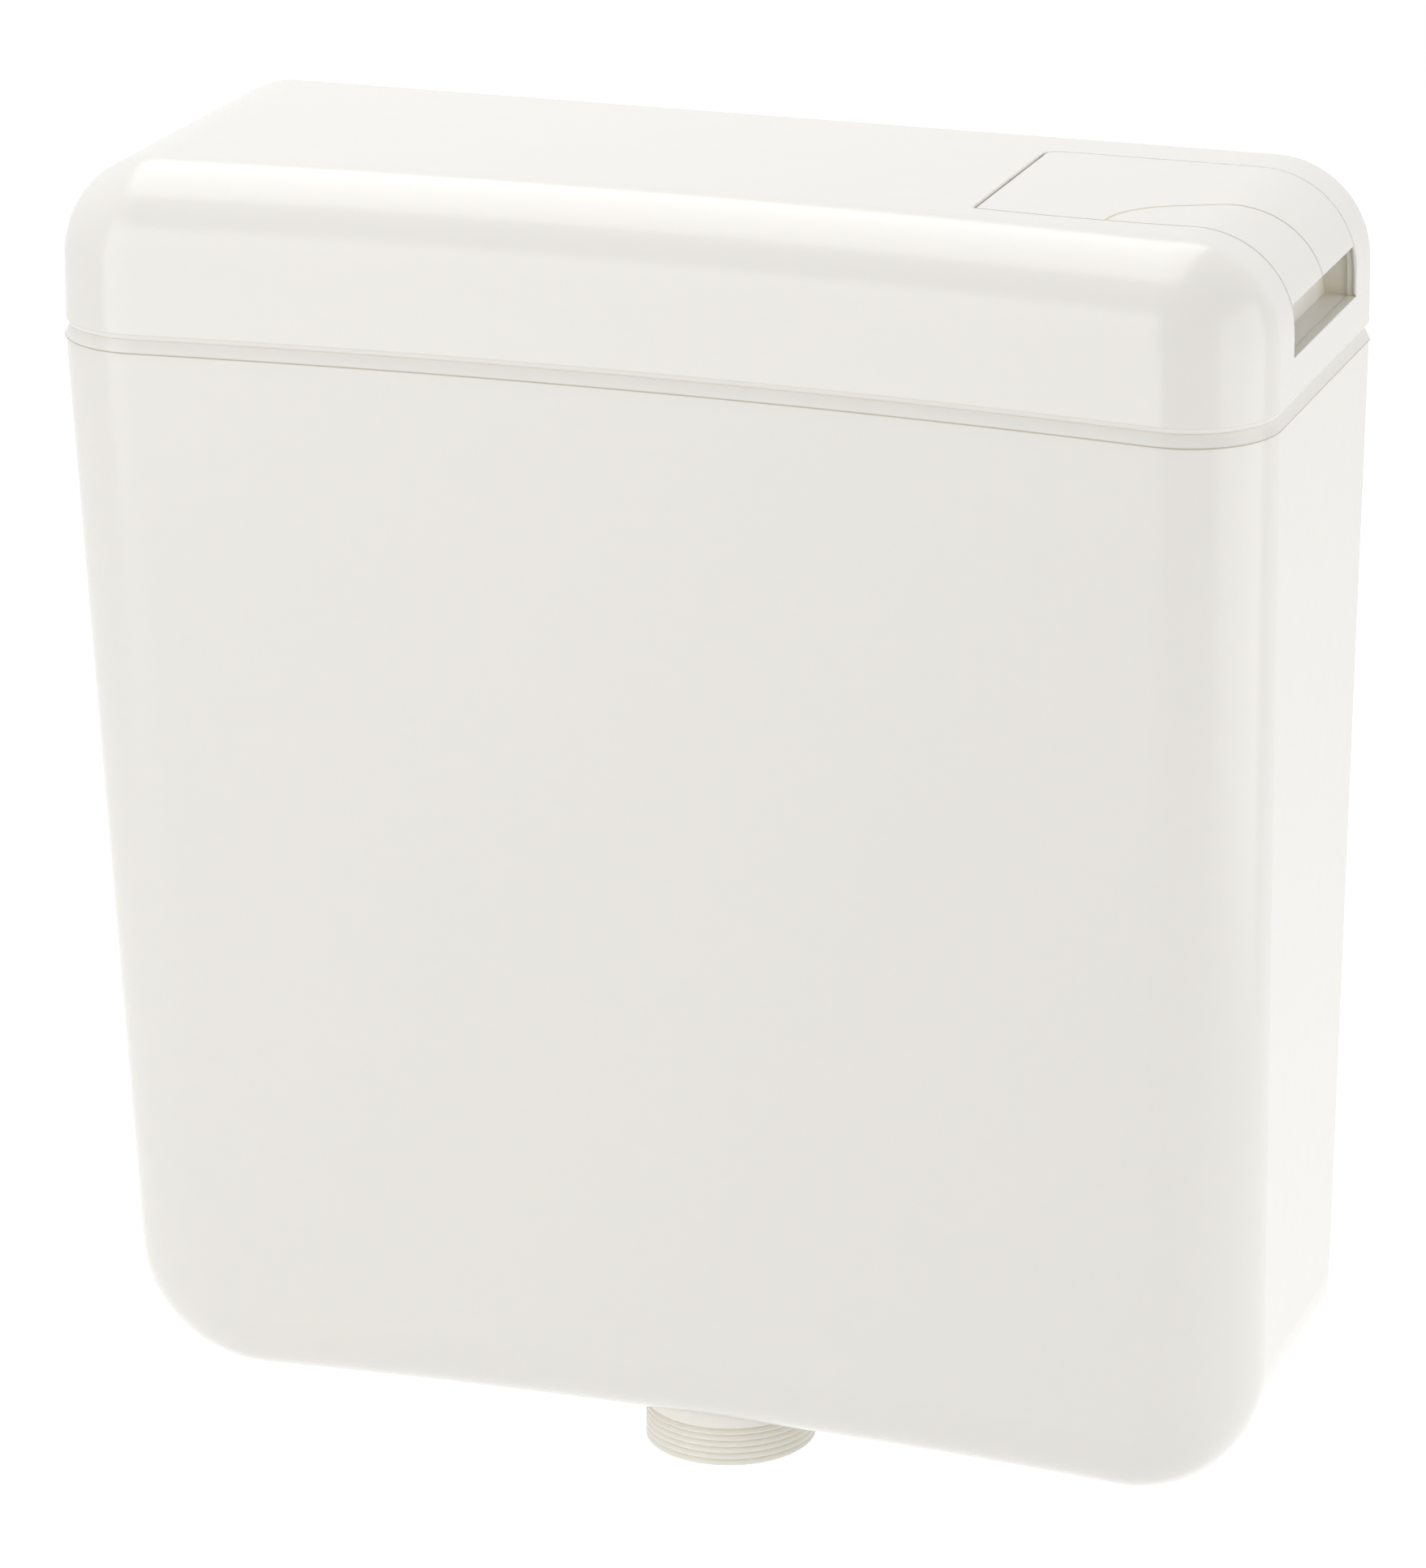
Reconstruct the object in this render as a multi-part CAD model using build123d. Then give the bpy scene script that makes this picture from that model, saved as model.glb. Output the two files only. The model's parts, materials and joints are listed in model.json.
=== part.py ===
from build123d import *
import os
from math import atan, cos, degrees, pi, radians, sin, sqrt, tan

# A wall-hung plastic toilet cistern with two flush levers in its lid.
# Millimetres. X runs along the wall to the right, Y towards the wall, Z up.
# The origin is on the outlet's axis, at the outlet's lower end.

# Casing
seam_half_width = 204.8
tank_height = 377.8
lid_height = 59.3
body_depth = 146.0
body_depth_low = 114.6
outlet_to_wall = 46.7
front_bow = 9.9
bow_side_margin = 32.8
tank_draft_share = 0.0107
lid_draft_share = 0.0146
tank_wall = 3.0
lid_wall = 3.2
front_edge_radius = 30.0
tank_corner_radius = 46.7
lid_corner_radius = 32.0
lid_band_height = 4.2
lid_band_proud = 0.5
lid_groove_depth = 1.6
lid_edge_round = 2.0
lid_edge_lip = 0.2
lid_edge_steps = 4
lid_tab_length = 8.0
lid_tab_width = 24.0
lid_tab_thickness = 2.2
lid_tab_spread_shares = (-0.72, -0.30, 0.30, 0.76)

# Outlet with its thread
outlet_drop = 22.6
outlet_radius = 29.8
outlet_bore_radius = 25.0
outlet_bore_length = 20.0
thread_length = 14.5
thread_pitch = 2.309
thread_depth = 1.2
thread_crest = 0.4

# General clearances
overrun = 2.0
tiny = 0.05
piece_gap = 0.3
seat_gap = 0.2
running_gap = 0.06
guide_gap = 0.1
screw_gap = 0.1

# Wall fixing holes
fixing_half_spacing = 150.0
fixing_below_seam = 30.0
fixing_hole_radius = 4.1
fixing_boss_radius = 9.0
fixing_boss_height = 3.0

# Insulation liner
liner_thickness = 5.0
liner_below_seam = 120.0
liner_hole_radius = 46.0
liner_hole_height = 24.0

# Flat pad inside the tank that the flush valve stands on
seat_pad_height = 8.0
seat_pad_radius = 41.0
seat_pad_clear = 16.0

# Lever strip in the lid
strip_left = 99.6
strip_to_back = 18.3
strip_to_front_left = 35.1
strip_to_front_mid = 32.7
strip_front_mid_x = 155.0
strip_to_front_right = 37.2
strip_rear_corner = 6.0
strip_front_corner = 1.5
slot_floor = 19.0
slot_top = 35.6
lever_side_gap = 0.5
lever_left_gap = 1.3
lever_skin = 2.5
lever_lip_reach = 6.0
parting_gap = 0.6
parting_start_x = 144.1
parting_bend_x = 150.4
parting_bend_depth = 17.7
parting_knee_x = 163.0
parting_knee_depth = 26.3
parting_run_x = 183.0
parting_run_depth = 36.1
parting_end_depth = 44.8

# Lever pivots and legs
lever_pivot_x = 104.0
lever_pivot_height = 50.0
lever_pin_radius = 2.0
lever_hub_radius = 4.6
lever_web = 4.0
lever_press_angle = 7.0
leg_x = 165.0
leg_thickness = 4.0
leg_tip_radius = 2.0
leg_width = 8.0
full_leg_from_back = 24.4
half_leg_from_front = 6.2
full_hub_from_front = 22.7
full_hub_from_back = 3.4
half_hub_from_front = 4.7
half_hub_width = 14.0
rib_thickness = 2.0
rib_depth = 8.0
half_arm_knee_x = 150.0
half_arm_end_x = 172.0
half_rib_x = 153.0
half_arm_thickness = 6.0

# Lever housing
housing_wall = 2.0
housing_margin = 1.2
housing_low = 40.0
housing_fit_gap = 0.1
pocket_depth = 10.6
pocket_slope = 3.2
pocket_rise = 20.0
tab_reach = 10.0
tab_width = 12.0
tab_thickness = 2.5
boss_radius = 4.0
boss_height = 7.0
housing_screw_radius = 1.5
housing_screw_head_radius = 3.2
housing_screw_head = 2.0
left_tab_shares = (0.18, 0.82)
side_tab_share = 0.5

# Rockers on their bridge
rocker_pivot_x = 112.0
rocker_pivot_height = 14.0
rocker_pin_radius = 2.5
rocker_hub_radius = 6.0
rocker_pad_top = 2.0
rocker_pad_half = 8.0
rocker_pad_margin = 2.0
rocker_arm_depth = 6.0
rocker_arm_below = 8.0
fork_boss_radius = 4.0
fork_prong_width = 4.0
fork_slack = 1.0
fork_end_slack = 2.0
fork_arm_trim = 1.0
fork_prong_overhang = 7.0
bridge_beam_width = 24.0
bridge_thickness = 4.0
bridge_below_seam = 16.0
bridge_end_gap = 0.6
bridge_rail_width = 8.0
bridge_rail_spread_shares = (0.26, 0.74)
cheek_thickness = 4.0
cheek_width = 16.0
cheek_above_pin = 6.0
front_cheek_clear = 5.5
rear_cheek_clear = 12.0
ledge_depth = 10.0
ledge_height = 10.0
ledge_margin = 2.0
bridge_screw_radius = 1.8
bridge_screw_head_radius = 3.6
bridge_screw_head = 2.4
bridge_screw_length = 9.0

# Flush valve on the outlet's axis
gasket_thickness = 2.0
gasket_outer_radius = 34.0
seat_flange_radius = 36.0
seat_flange_thickness = 3.0
seat_tail_radius = 24.6
seat_bore_radius = 21.5
seat_tail_length = 14.0
seat_tail_gap = 0.8
seat_lip_height = 2.6
seat_lip_width = 2.0
seal_thickness = 2.5
seal_outer_radius = 29.0
bell_radius = 27.0
bell_thickness = 3.0
overflow_outer_radius = 16.0
overflow_wall = 2.0
overflow_below_seam = 70.0
retainer_radius = 19.0
retainer_thickness = 2.5
retainer_fin_length = 12.0
retainer_fin_thickness = 2.0
retainer_fins = 3
cage_ring_height = 4.0
cage_bell_gap = 4.0
cage_outer_radius = 40.0
cage_pillar_radius = 3.5
cage_pillar_inset = 0.8
cage_pillars = 4
cage_height = 96.0
cage_guide_radius = 21.0
cage_guide_height = 14.0
cage_spoke_width = 6.0

# Half-flush sleeve and its rod
window_height = 12.0
window_width = 14.0
window_low = 168.0
window_count = 3
window_margin = 2.1
shoulder_radius = 20.0
shoulder_thickness = 2.4
sleeve_seal_thickness = 1.8
sleeve_wall = 3.0
sleeve_height = 24.0
rod_y = -28.0
rod_radius = 3.0
rod_collar_radius = 8.0
stem_radius = 5.0
stem_collar_radius = 11.0
collar_thickness = 3.0
stem_overtop = 2.0
head_ring_height = 10.0
head_ring_wall = 2.6
head_bar_width = 8.0
head_bar_height = 4.0
lug_height = 8.0
lug_width = 10.0

# Fill valve at the left side
fill_y = 6.0
fill_below_seam = 52.0
inlet_radius = 10.48
inlet_reach = 30.0
inlet_bore_radius = 5.0
inlet_thread_pitch = 1.814
inlet_thread_depth = 0.9
inlet_thread_crest = 0.35
inlet_thread_length = 20.0
inlet_washer_radius = 15.0
inlet_washer_thickness = 2.0
fill_flange_radius = 15.5
fill_flange_thickness = 3.0
inlet_nut_radius = 16.5
inlet_nut_thickness = 7.0
barrel_radius = 12.0
barrel_length = 44.0
barrel_end_wall = 14.0
barrel_port_from_flange = 20.0
port_radius = 6.0
port_length = 14.0
port_bore_radius = 4.0
cap_radius = 15.0
cap_grip = 8.0
cap_end_wall = 2.5
diaphragm_thickness = 1.5
plunger_head_radius = 8.0
plunger_head_thickness = 2.0
plunger_rod_radius = 2.5
plunger_rod_reach = 4.0
plunger_travel = 3.0
arm_pivot_drop = 10.0
arm_pivot_reach = 2.2
arm_pin_radius = 2.0
arm_hub_radius = 4.5
arm_half_width = 4.2
arm_bar_depth = 6.0
arm_length = 62.0
arm_boss_radius = 6.5
arm_boss_height = 9.0
heel_thickness = 4.2
heel_overtop = 3.0
ear_thickness = 3.0
ear_margin = 5.0
silencer_radius = 8.5
silencer_wall = 2.0
silencer_end_height = 60.0
silencer_overlap = 12.0
float_length = 60.0
float_width = 46.0
float_height = 42.0
float_below_arm = 9.5
float_edge = 5.0
float_front_share = 0.5
level_screw_radius = 3.0
level_screw_overtop = 18.0
level_knob_radius = 6.0
level_knob_height = 4.0
level_nut_radius = 5.5
level_nut_height = 2.4

# Places worked out from the sizes
tank_floor_z = outlet_drop
seam_z = tank_floor_z + tank_height
top_z = seam_z + lid_height
back_y = outlet_to_wall
front_lean_share = (body_depth - body_depth_low) / tank_height
front_mid_y = back_y - body_depth + front_bow
bow_half_width = seam_half_width - bow_side_margin
bow_radius = (bow_half_width ** 2 + front_bow ** 2) / (2 * front_bow)
strip_back = back_y - strip_to_back
strip_front_left = front_mid_y + strip_to_front_left
strip_front_mid = front_mid_y + strip_to_front_mid
strip_front_right = front_mid_y + strip_to_front_right
lever_pivot_z = seam_z + lever_pivot_height
rocker_pivot_z = seam_z + rocker_pivot_height
pad_top_z = rocker_pivot_z + rocker_pad_top
fork_top_z = rocker_pivot_z
full_leg_front = strip_back - full_leg_from_back
full_leg_back = full_leg_front + leg_width
half_leg_front = strip_front_mid + half_leg_from_front
half_leg_back = half_leg_front + leg_width
full_hub_front = strip_front_mid + full_hub_from_front
full_hub_back = strip_back - full_hub_from_back
half_hub_front = strip_front_mid + half_hub_from_front
half_hub_back = half_hub_front + half_hub_width
full_fork_half = stem_radius + fork_slack + fork_prong_width
half_fork_half = rod_radius + fork_slack + fork_prong_width
half_rocker_front = min(half_leg_front - rocker_pad_margin, rod_y - half_fork_half)
half_rocker_back = max(half_leg_back + rocker_pad_margin, rod_y + half_fork_half)
full_rocker_front = min(full_leg_front - rocker_pad_margin, -full_fork_half)
full_rocker_back = max(full_leg_back + rocker_pad_margin, full_fork_half)
front_cheek_y = half_rocker_front - front_cheek_clear - cheek_thickness
middle_cheek_y = (half_rocker_back + full_rocker_front - cheek_thickness) / 2
rear_cheek_y = full_rocker_back + rear_cheek_clear
bridge_low_z = seam_z - bridge_below_seam
bridge_top_z = bridge_low_z + bridge_thickness
inner_floor_z = tank_floor_z + tank_wall
seat_pad_z = inner_floor_z + seat_pad_height
overflow_top_z = seam_z - overflow_below_seam
fill_z = seam_z - fill_below_seam
lid_under_z = top_z - lid_wall
skin_under_z = top_z - lever_skin

os.makedirs("parts", exist_ok=True)


def save(name, shape):
    export_step(shape, os.path.join("parts", name + ".step"))


def box(x0, x1, y0, y1, z0, z1):
    low = (Align.MIN, Align.MIN, Align.MIN)
    return Pos(x0, y0, z0) * Box(x1 - x0, y1 - y0, z1 - z0, align=low)


def rod_along_z(radius, z0, z1, x=0, y=0):
    stand = (Align.CENTER, Align.CENTER, Align.MIN)
    return Pos(x, y, z0) * Cylinder(radius, z1 - z0, align=stand)


def rod_along_x(radius, x0, x1, y, z):
    stand = (Align.CENTER, Align.CENTER, Align.MIN)
    return Pos(x0, y, z) * Rot(0, 90, 0) * Cylinder(radius, x1 - x0, align=stand)


def rod_along_y(radius, y0, y1, x, z):
    stand = (Align.CENTER, Align.CENTER, Align.MIN)
    return Pos(x, y0, z) * Rot(-90, 0, 0) * Cylinder(radius, y1 - y0, align=stand)


def ring(outer, inner, z0, z1, x=0, y=0):
    return rod_along_z(outer, z0, z1, x, y) - rod_along_z(inner, z0 - overrun, z1 + overrun, x, y)


def plate_along_y(points, y0, y1):
    outline = make_face(Polyline(*points, close=True))
    return extrude(Plane.XZ.offset(-y1) * outline, y1 - y0)


# The casing: its outline from the front, cut to the bowed and leaning front face


def tank_half(z):
    return seam_half_width - tank_draft_share * (seam_z - z)


def lid_half(z):
    return seam_half_width - lid_draft_share * (z - seam_z)


def front_outline(half_width, z_low, z_high, corner, round_low):
    corners = [
        (-half_width(z_low), z_low),
        (half_width(z_low), z_low),
        (half_width(z_high), z_high),
        (-half_width(z_high), z_high),
    ]
    outline = make_face(Polyline(*corners, close=True))
    round_z = z_low if round_low else z_high
    picked = [v for v in outline.vertices() if abs(v.Y - round_z) < tiny]
    return fillet(picked, corner)


def front_region(mid_y):
    # the plan of everything behind the bowed front
    region_front = mid_y - 2 * front_bow
    region_back = back_y + overrun
    half = seam_half_width + overrun
    region = Pos(0, (region_front + region_back) / 2) * Rectangle(2 * half, region_back - region_front)
    return region - Pos(0, mid_y - bow_radius) * Circle(bow_radius)


def sharp_casing(half_width, z_low, z_high, corner, round_low, inset, lean_share):
    # inset moves the front and the back inwards, and half_width already holds the sides' inset
    outline = front_outline(half_width, z_low, z_high, corner, round_low)
    back = back_y - inset
    block = extrude(Plane.XZ.offset(-back) * outline, body_depth + 2 * front_bow)
    lean = degrees(atan(lean_share))
    hollow = Pos(0, -bow_radius, 0) * Cylinder(bow_radius, 2 * top_z)
    return block - Pos(0, front_mid_y + inset, seam_z) * Rot(lean, 0, 0) * hollow


def casing(half_width, z_low, z_high, corner, round_low, inset, lean_share, edge):
    body = sharp_casing(half_width, z_low, z_high, corner, round_low, inset, lean_share)
    face = body.faces().sort_by(Axis.Y)[0]
    open_z = z_high if round_low else z_low
    rim = [e for e in face.edges() if abs(e.center().Z - open_z) > tiny]
    return fillet(rim, edge)


def tank_casing(inset, z_low, z_high):
    return casing(
        lambda z: tank_half(z) - inset,
        z_low,
        z_high,
        tank_corner_radius - inset,
        True,
        inset,
        front_lean_share,
        front_edge_radius - inset,
    )


def lid_casing(inset, z_low, z_high):
    return casing(
        lambda z: lid_half(z) - inset,
        z_low,
        z_high,
        lid_corner_radius - inset,
        False,
        inset,
        0,
        front_edge_radius - inset,
    )


def front_inner_y(x, z):
    # the inner face of the tank's bowed front wall
    bow = bow_radius - sqrt(bow_radius ** 2 - x ** 2)
    return front_mid_y - bow + tank_wall + front_lean_share * (seam_z - z)


def thread_groove(radius, pitch, depth, crest, length):
    # one V groove that winds round Z, from below zero to its length
    start = -pitch
    path = Helix(pitch, length + pitch, radius, center=(0, 0, start))
    half = (pitch - crest) / 2
    root = radius - depth
    lift = half * tiny
    profile = make_face(
        Polyline((root, start), (radius + lift, start + half), (radius + lift, start - half), close=True)
    )
    return sweep(Plane.XZ * profile, path=path, is_frenet=True)


def make_tank():
    shell = tank_casing(0, tank_floor_z, seam_z)
    shell -= tank_casing(tank_wall, inner_floor_z, seam_z + overrun)
    outside = tank_casing(tank_wall / 2, tank_floor_z + tank_wall / 2, seam_z - tank_wall / 2)
    for x in (rocker_pivot_x, 0):
        half = bridge_beam_width / 2 + ledge_margin
        low = bridge_low_z - ledge_height
        front = front_inner_y(x, bridge_low_z)
        back = back_y - tank_wall
        ledges = box(x - half, x + half, front - tank_wall, front + ledge_depth, low, bridge_low_z)
        ledges += box(x - half, x + half, back - ledge_depth, back + tank_wall, low, bridge_low_z)
        shell += ledges & outside
        for y in bridge_screw_places(x):
            radius = bridge_screw_radius + screw_gap
            deep = bridge_top_z - bridge_screw_length - overrun
            shell -= rod_along_z(radius, deep, bridge_low_z + overrun, x, y)
    for side in (-1, 1):
        x = side * fixing_half_spacing
        z = seam_z - fixing_below_seam
        inner = back_y - tank_wall - fixing_boss_height
        shell += rod_along_y(fixing_boss_radius, inner, back_y - tank_wall / 2, x, z)
        shell -= rod_along_y(fixing_hole_radius, inner - overrun, back_y + overrun, x, z)
    hole_start = -seam_half_width - overrun
    hole_end = -tank_half(fill_z) + tank_wall + overrun
    shell -= rod_along_x(inlet_radius + piece_gap, hole_start, hole_end, fill_y, fill_z)
    spigot = rod_along_z(outlet_radius, 0, tank_floor_z + tank_wall / 2)
    spigot -= thread_groove(outlet_radius, thread_pitch, thread_depth, thread_crest, thread_length)
    pad = rod_along_z(seat_pad_radius, tank_floor_z, seat_pad_z)
    shell += spigot + (pad & outside)
    shell -= rod_along_z(seat_pad_radius, seat_pad_z, seat_pad_z + seat_pad_clear)
    shell -= rod_along_z(seat_tail_radius + seat_tail_gap, outlet_bore_length, seat_pad_z + overrun)
    return shell - rod_along_z(outlet_bore_radius, -overrun, outlet_bore_length + overrun)


def make_liner():
    inset = tank_wall + piece_gap
    low = inner_floor_z + piece_gap
    high = seam_z - liner_below_seam
    liner = tank_casing(inset, low, high)
    liner -= tank_casing(inset + liner_thickness, low + liner_thickness, high + overrun)
    return liner - rod_along_z(liner_hole_radius, low - overrun, low + liner_hole_height)


# The lid, with the opening for its levers


def strip_region(right_overrun):
    left_front = (strip_left, strip_front_left)
    right = seam_half_width + right_overrun
    front = ThreePointArc(left_front, (strip_front_mid_x, strip_front_mid), (right, strip_front_right))
    rest = Polyline((right, strip_front_right), (right, strip_back), (strip_left, strip_back), left_front)
    region = make_face(front + rest)
    rear = [v for v in region.vertices() if v.X < strip_left + tiny and v.Y > 0]
    region = fillet(rear, strip_rear_corner)
    fore = [v for v in region.vertices() if v.X < strip_left + tiny and v.Y < strip_front_left + tiny]
    return fillet(fore, strip_front_corner)


def lid_plan(above_seam, inset):
    # the lid's plan at one height: inset moves the front and the sides, and the back stays flat
    z = seam_z + above_seam
    half = lid_half(z) - inset
    sides = Pos(0, back_y - body_depth) * Rectangle(2 * half, 2 * body_depth)
    plan = front_region(front_mid_y + inset) & sides
    picked = [v for v in plan.vertices() if v.Y < 0]
    return Pos(0, 0, z) * fillet(picked, front_edge_radius - inset)


def lid_foot():
    # the band flares out to the seam, and above it the lid's lower edge turns in, in a quarter round
    plans = [lid_plan(0, -lid_band_proud)]
    for step in range(lid_edge_steps + 1):
        turn = step / lid_edge_steps * pi / 2
        above_seam = lid_band_height + lid_edge_round * (1 - cos(turn))
        plans.append(lid_plan(above_seam, lid_edge_lip + (lid_groove_depth - lid_edge_lip) * (1 - sin(turn))))
    foot = loft(plans[:2], ruled=True)
    for low, high in zip(plans[1:], plans[2:]):
        foot += loft([low, high], ruled=True)
    return foot


def make_lid():
    shell = lid_casing(0, seam_z + lid_band_height + lid_edge_round, top_z) + lid_foot()
    shell -= lid_casing(lid_wall, seam_z - overrun, lid_under_z)
    cut = extrude(Pos(0, 0, seam_z + slot_floor) * strip_region(overrun), lid_height)
    shell -= cut
    tab_high = seam_z + lid_tab_length
    tab_low = seam_z - lid_tab_length
    root_z = seam_z + piece_gap
    root_inset = (lid_groove_depth + lid_wall) / 2
    inside = lid_casing(root_inset, seam_z - overrun, top_z - lid_wall)
    reach = tank_wall + piece_gap
    for share in lid_tab_spread_shares:
        x = share * seam_half_width
        half = lid_tab_width / 2
        front = max(front_inner_y(end, tab_low) for end in (x - half, x + half)) + piece_gap
        back = back_y - reach
        shell += box(x - half, x + half, front, front + lid_tab_thickness, tab_low, tab_high)
        shell += box(x - half, x + half, back - lid_tab_thickness, back, tab_low, tab_high)
        fore_root = box(x - half, x + half, back_y - body_depth, front + lid_tab_thickness, root_z, tab_high)
        hind_root = box(x - half, x + half, back - lid_tab_thickness, back_y, root_z, tab_high)
        shell += (fore_root + hind_root) & inside
    for x, y in housing_screw_places():
        shell += rod_along_z(boss_radius, lid_under_z - boss_height, lid_under_z + tiny, x, y)
        hole_low = lid_under_z - boss_height - overrun
        shell -= rod_along_z(housing_screw_radius + screw_gap, hole_low, lid_under_z, x, y)
    return shell


# The two levers share the lid's outer form


def lever_stock():
    low = seam_z + slot_top
    front = strip_front_mid - overrun
    back = strip_back + overrun
    depth = back - front

    def form(inset):
        outline = front_outline(
            lambda z: lid_half(z) - inset, seam_z, top_z - inset, lid_corner_radius - inset, False
        )
        return extrude(Plane.XZ.offset(-back) * outline, depth)

    zone = offset(strip_region(overrun), -lever_side_gap)
    zone = extrude(Pos(0, 0, low) * zone, lid_height)
    left = strip_left + lever_left_gap
    zone &= box(left, seam_half_width + overrun, front, back, low, top_z + overrun)
    skin = form(0) - form(lever_skin)
    right = lid_half(low)
    lip = box(right - lever_skin - lever_lip_reach, right, front, back, low, low + lever_skin)
    return (skin + (lip & form(0))) & zone


def parting_region(grow):
    # the plan of the small half-flush lever
    front = strip_front_mid - overrun
    right = seam_half_width + overrun
    start = (parting_start_x, strip_front_mid)
    mid = (parting_bend_x, strip_front_mid + parting_bend_depth)
    knee = (parting_knee_x, strip_front_mid + parting_knee_depth)
    far = (parting_run_x, strip_front_mid + parting_run_depth)
    end = (right, strip_front_mid + parting_end_depth)
    edge = Polyline((parting_start_x, front), start)
    bend = ThreePointArc(start, mid, knee)
    run = ThreePointArc(knee, far, end)
    close = Polyline(end, (right, front), (parting_start_x, front))
    region = make_face(edge + bend + run + close)
    if grow:
        region = offset(region, grow)
    return extrude(Pos(0, 0, seam_z) * region, lid_height + overrun)


def lever_pad_leg(y0, y1):
    tip_z = pad_top_z + piece_gap + leg_tip_radius
    half = leg_thickness / 2
    leg = box(leg_x - half, leg_x + half, y0, y1, tip_z, skin_under_z + tiny)
    return leg + rod_along_y(leg_tip_radius, y0, y1, leg_x, tip_z)


def lever_bore(y0, y1):
    bore = lever_pin_radius + running_gap
    return rod_along_y(bore, y0 - overrun, y1 + overrun, lever_pivot_x, lever_pivot_z)


def make_full_lever(stock):
    lever = stock - parting_region(parting_gap)
    half = lever_web / 2
    web_left = lever_pivot_x - half
    web_right = lever_pivot_x + half
    web_high = skin_under_z + tiny
    lever += box(web_left, web_right, full_hub_front, full_hub_back, lever_pivot_z, web_high)
    lever += rod_along_y(lever_hub_radius, full_hub_front, full_hub_back, lever_pivot_x, lever_pivot_z)
    lever += lever_pad_leg(full_leg_front, full_leg_back)
    mid = (full_leg_front + full_leg_back) / 2
    rib_end = seam_half_width - lid_corner_radius
    rib_front = mid - rib_thickness / 2
    rib_low = skin_under_z - rib_depth
    lever += box(lever_pivot_x, rib_end, rib_front, rib_front + rib_thickness, rib_low, web_high)
    return lever - lever_bore(full_hub_front, full_hub_back)


def make_half_lever(stock):
    # its arm passes under the full-flush lever and stays clear of it when that one is pressed
    lever = stock & parting_region(0)
    full_lever_fall = (half_arm_knee_x - lever_pivot_x) * tan(radians(lever_press_angle))
    arm_high = skin_under_z - full_lever_fall - piece_gap
    arm_low = arm_high - half_arm_thickness
    arm = [
        (lever_pivot_x, lever_pivot_z + lever_hub_radius),
        (half_arm_knee_x, arm_high),
        (half_arm_end_x, arm_high),
        (half_arm_end_x, arm_low),
        (lever_pivot_x, lever_pivot_z - lever_hub_radius),
    ]
    lever += plate_along_y(arm, half_leg_front, half_leg_back)
    rib_front = (half_leg_front + half_leg_back - rib_thickness) / 2
    rib_low = (arm_high + arm_low) / 2
    rib_high = skin_under_z + tiny
    lever += box(half_rib_x, half_arm_end_x, rib_front, rib_front + rib_thickness, rib_low, rib_high)
    lever += rod_along_y(lever_hub_radius, half_hub_front, half_hub_back, lever_pivot_x, lever_pivot_z)
    lever += lever_pad_leg(half_leg_front, half_leg_back)
    return lever - lever_bore(half_hub_front, half_hub_back)


def housing_lines():
    front = strip_front_mid - housing_margin
    back = strip_back + housing_margin
    left = strip_left - housing_margin
    return front, back, left


def housing_tabs():
    front, back, left = housing_lines()
    left_ys = [front + share * (back - front) for share in left_tab_shares]
    side_x = left + side_tab_share * (seam_half_width - lid_corner_radius - left)
    places = [(left - housing_wall - tab_reach / 2, y, "left") for y in left_ys]
    places += [(side_x, front - housing_wall - tab_reach / 2, "front")]
    places += [(side_x, back + housing_wall + tab_reach / 2, "back")]
    return places


def housing_screw_places():
    return [(x, y) for x, y, side in housing_tabs()]


def make_housing():
    front, back, left = housing_lines()
    low = seam_z + housing_low
    floor = seam_z + slot_floor
    pocket_x = lid_half(floor) - pocket_depth
    right = seam_half_width
    side = [
        (left - housing_wall, low),
        (left - housing_wall, top_z),
        (right, top_z),
        (right, floor - housing_wall),
        (pocket_x - housing_wall, floor - housing_wall),
        (pocket_x - pocket_slope - housing_wall, low),
    ]
    frame = plate_along_y(side, front - housing_wall, front)
    frame += plate_along_y(side, back, back + housing_wall)
    frame += box(left - housing_wall, left, front - housing_wall, back + housing_wall, low, top_z)
    scoop = [
        (pocket_x, floor),
        (right, floor),
        (right, floor - housing_wall),
        (pocket_x - housing_wall, floor - housing_wall),
        (pocket_x - pocket_slope - housing_wall, floor + pocket_rise),
        (pocket_x - pocket_slope, floor + pocket_rise),
    ]
    frame += plate_along_y(scoop, front - housing_wall, back + housing_wall)
    inset = lid_wall + housing_fit_gap
    frame &= sharp_casing(
        lambda z: lid_half(z) - inset,
        seam_z,
        lid_under_z - piece_gap,
        lid_corner_radius - inset,
        False,
        inset,
        0,
    )
    tab_high = lid_under_z - boss_height
    for x, y, where in housing_tabs():
        long_x = tab_reach if where == "left" else tab_width
        long_y = tab_width if where == "left" else tab_reach
        grip = housing_wall / 2
        shift_x = grip if where == "left" else 0
        shift_y = {"left": 0, "front": grip, "back": -grip}[where]
        frame += box(
            x - long_x / 2 + shift_x,
            x + long_x / 2 + shift_x,
            y - long_y / 2 + shift_y,
            y + long_y / 2 + shift_y,
            tab_high - tab_thickness,
            tab_high,
        )
        radius = housing_screw_radius + screw_gap
        frame -= rod_along_z(radius, tab_high - tab_thickness - overrun, tab_high + overrun, x, y)
    hole = lever_pin_radius + running_gap
    reach = housing_wall + overrun
    return frame - rod_along_y(hole, front - reach, back + reach, lever_pivot_x, lever_pivot_z)


def make_housing_screws():
    under = lid_under_z - boss_height - tab_thickness
    screws = []
    for x, y in housing_screw_places():
        head = rod_along_z(housing_screw_head_radius, under - housing_screw_head, under, x, y)
        shank = rod_along_z(housing_screw_radius, under - tiny, lid_under_z - tab_thickness / 2, x, y)
        screws.append(head + shank)
    return screws


def make_lever_pin():
    front, back, left = housing_lines()
    reach = housing_wall + piece_gap
    return rod_along_y(lever_pin_radius, front - reach, back + reach, lever_pivot_x, lever_pivot_z)


# The bridge and the rockers that pass the levers' movement on


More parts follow.
